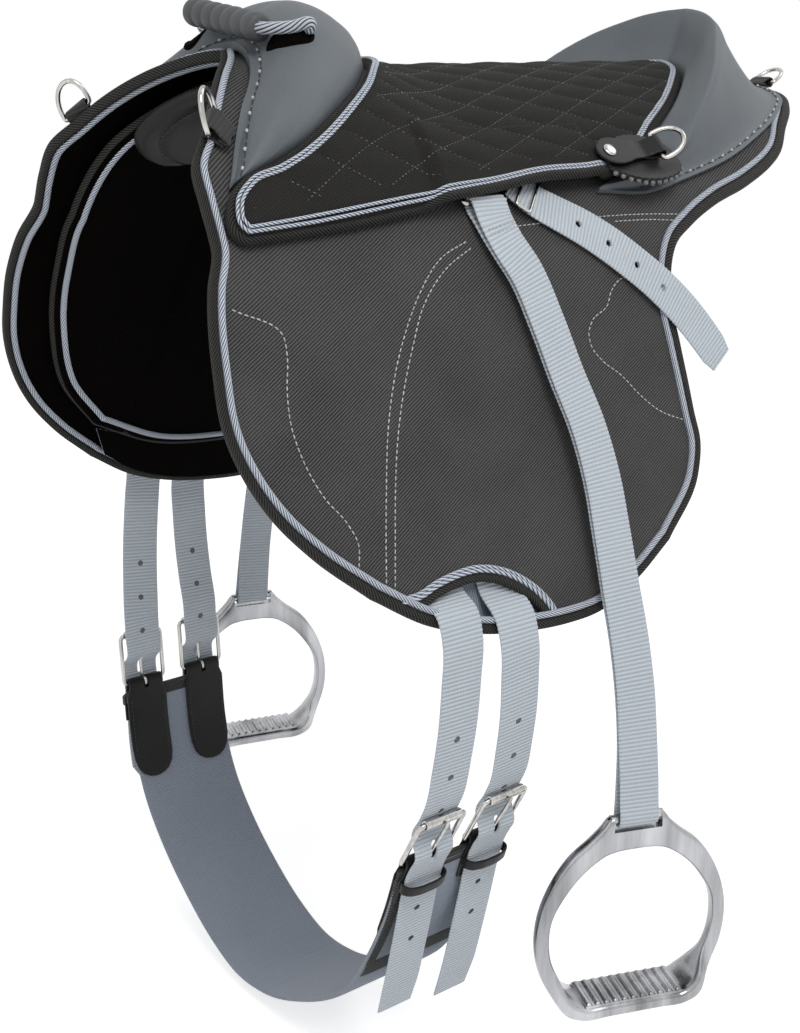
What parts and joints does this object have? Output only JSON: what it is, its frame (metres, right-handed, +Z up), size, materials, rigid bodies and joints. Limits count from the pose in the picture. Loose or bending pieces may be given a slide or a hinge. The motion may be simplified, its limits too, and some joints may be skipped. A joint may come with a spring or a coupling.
{
  "type": "pony saddle",
  "caption": "Synthetic pony saddle with moulded pommel and cantle, quilted seat, rope handle, hanging stirrups and a girth buckled to webbing billets.",
  "frame": {"origin": "on the median plane at mid-seat, in the channel that rests over the pony's spine", "axes": "+X forward to the pommel, +Y to the near side (the pony's left), +Z up"},
  "size_m": [0.5769, 0.5045, 0.6736],
  "materials": {
    "cordura": "coarse black twill with a ribbed binding",
    "lining": "matte black lining cloth",
    "quilted_cover": "matte black cover with diamond stitching",
    "moulded_grey": "grained grey synthetic leather, satin",
    "black_leather": "smooth black, glossy",
    "grey_web": "grey-blue woven webbing",
    "girth_web": "grey woven webbing",
    "plain_web": "plain dark webbing",
    "black_web": "ribbed black webbing",
    "nickel": "nickel-plated wire, bright",
    "polished_iron": "polished casting",
    "rope": "twisted cord, black and silver-blue",
    "grip_rubber": "dark grey, ribbed, satin"
  },
  "bodies": {
    "saddle": {"seat": "quilted_cover", "pommel": "moulded_grey", "cantle": "moulded_grey", "flap_near": "cordura", "flap_off": "cordura", "panel_near": "lining", "panel_off": "lining", "wither_pad": "black_leather", "hanger_web": "plain_web", "front_keeper_near": "black_web", "front_keeper_off": "black_web", "crupper_keeper": "black_web", "rear_tab_near": "black_leather", "rear_tab_off": "black_leather", "rosette_near": "black_leather", "rosette_off": "black_leather", "rivet_near": "nickel", "rivet_off": "nickel", "eyelet_near": "black_leather", "eyelet_off": "black_leather", "leather_tail_near": "grey_web", "leather_tail_off": "grey_web", "leather_buckle_near": "nickel", "leather_buckle_off": "nickel", "billet_near_front": "grey_web", "billet_near_rear": "grey_web", "billet_off_front": "grey_web", "billet_off_rear": "grey_web", "buckle_near_front": "nickel", "buckle_near_rear": "nickel", "buckle_off_front": "nickel", "buckle_off_rear": "nickel", "chape_near_front": "black_leather", "chape_near_rear": "black_leather", "chape_off_front": "black_leather", "chape_off_rear": "black_leather", "girth": "girth_web"},
    "front_ring_near": {"front_ring_near": "nickel"},
    "front_ring_off": {"front_ring_off": "nickel"},
    "rear_ring_near": {"rear_ring_near": "nickel"},
    "rear_ring_off": {"rear_ring_off": "nickel"},
    "crupper_ring": {"crupper_ring": "nickel"},
    "handle": {"handle_rope": "rope"},
    "grip": {"handle_grip": "grip_rubber"},
    "hanger_near": {"stirrup_ring_near": "nickel"},
    "hanger_off": {"stirrup_ring_off": "nickel"},
    "strap_near": {"leather_near": "grey_web"},
    "strap_off": {"leather_off": "grey_web"},
    "stirrup_near": {"iron_near": "polished_iron"},
    "stirrup_off": {"iron_off": "polished_iron"},
    "roller_near_front": {"roller_near_front": "nickel"},
    "roller_near_rear": {"roller_near_rear": "nickel"},
    "roller_off_front": {"roller_off_front": "nickel"},
    "roller_off_rear": {"roller_off_rear": "nickel"},
    "tongue_near_front": {"tongue_near_front": "nickel"},
    "tongue_near_rear": {"tongue_near_rear": "nickel"},
    "tongue_off_front": {"tongue_off_front": "nickel"},
    "tongue_off_rear": {"tongue_off_rear": "nickel"}
  },
  "joints": [
    {"name": "front_ring_near_swing", "type": "hinge", "parent": "saddle", "child": "front_ring_near", "pos_m": [0.229, 0.08157, 0.00421], "axis": [-0.5534, -0.5841, 0.5938], "range_deg": [-45, 60]},
    {"name": "front_ring_off_swing", "type": "hinge", "parent": "saddle", "child": "front_ring_off", "pos_m": [0.229, -0.08157, 0.00421], "axis": [0.5526, -0.5809, -0.5977], "range_deg": [-45, 60]},
    {"name": "rear_ring_near_swing", "type": "hinge", "parent": "saddle", "child": "rear_ring_near", "pos_m": [-0.068, 0.11095, -0.01782], "axis": [0, 0.7305, -0.6829], "range_deg": [-25, 80]},
    {"name": "rear_ring_off_swing", "type": "hinge", "parent": "saddle", "child": "rear_ring_off", "pos_m": [-0.068, -0.11095, -0.01782], "axis": [0, 0.7348, 0.6783], "range_deg": [-25, 80]},
    {"name": "crupper_ring_swing", "type": "hinge", "parent": "saddle", "child": "crupper_ring", "pos_m": [-0.296, 0, 0.0145], "axis": [0, 1, 0], "range_deg": [-35, 90]},
    {"name": "handle_swing", "type": "hinge", "parent": "saddle", "child": "handle", "pos_m": [0.1533, 0, 0.0513], "axis": [0, 1, 0], "range_deg": [-70, 0]},
    {"name": "grip_spin", "type": "hinge", "parent": "handle", "child": "grip", "pos_m": [0.17275, 0.0015, 0.05625], "axis": [-0.0306, -0.9927, 0.1164], "continuous": true},
    {"name": "hanger_near_rock", "type": "hinge", "parent": "saddle", "child": "hanger_near", "pos_m": [0.072, 0.09758, -0.025], "axis": [0, 0.9, 0.436], "range_deg": [-9, 6]},
    {"name": "hanger_off_rock", "type": "hinge", "parent": "saddle", "child": "hanger_off", "pos_m": [0.072, -0.09758, -0.025], "axis": [0, 0.9, -0.436], "range_deg": [-9, 6]},
    {"name": "strap_near_lift", "type": "hinge", "parent": "hanger_near", "child": "strap_near", "pos_m": [0.072, 0.11393, -0.04298], "axis": [1, 0, 0], "range_deg": [0, 50]},
    {"name": "strap_off_lift", "type": "hinge", "parent": "hanger_off", "child": "strap_off", "pos_m": [0.072, -0.11393, -0.04298], "axis": [-1, 0, 0], "range_deg": [0, 50]},
    {"name": "stirrup_near_swing", "type": "hinge", "parent": "strap_near", "child": "stirrup_near", "pos_m": [0.0375, 0.225, -0.3992], "axis": [0.9336, -0.3584, 0], "range_deg": [-15, 75]},
    {"name": "stirrup_off_swing", "type": "hinge", "parent": "strap_off", "child": "stirrup_off", "pos_m": [0.0375, -0.225, -0.3992], "axis": [-0.9613, 0.2756, 0], "range_deg": [-15, 75]},
    {"name": "roller_near_front_spin", "type": "hinge", "parent": "saddle", "child": "roller_near_front", "pos_m": [0.15, 0.17915, -0.38345], "axis": [1, 0, 0], "continuous": true},
    {"name": "roller_near_rear_spin", "type": "hinge", "parent": "saddle", "child": "roller_near_rear", "pos_m": [0.102, 0.17915, -0.38345], "axis": [1, 0, 0], "continuous": true},
    {"name": "roller_off_front_spin", "type": "hinge", "parent": "saddle", "child": "roller_off_front", "pos_m": [0.162, -0.18207, -0.38655], "axis": [1, 0, 0], "continuous": true},
    {"name": "roller_off_rear_spin", "type": "hinge", "parent": "saddle", "child": "roller_off_rear", "pos_m": [0.112, -0.18207, -0.38655], "axis": [1, 0, 0], "continuous": true},
    {"name": "tongue_near_front_lift", "type": "hinge", "parent": "saddle", "child": "tongue_near_front", "pos_m": [0.15, 0.16, -0.418], "axis": [-1, 0, 0], "range_deg": [0, 6]},
    {"name": "tongue_near_rear_lift", "type": "hinge", "parent": "saddle", "child": "tongue_near_rear", "pos_m": [0.102, 0.16, -0.418], "axis": [-1, 0, 0], "range_deg": [0, 6]},
    {"name": "tongue_off_front_lift", "type": "hinge", "parent": "saddle", "child": "tongue_off_front", "pos_m": [0.162, -0.18, -0.426], "axis": [1, 0, 0], "range_deg": [0, 6]},
    {"name": "tongue_off_rear_lift", "type": "hinge", "parent": "saddle", "child": "tongue_off_rear", "pos_m": [0.112, -0.18, -0.426], "axis": [1, 0, 0], "range_deg": [0, 6]}
  ]
}
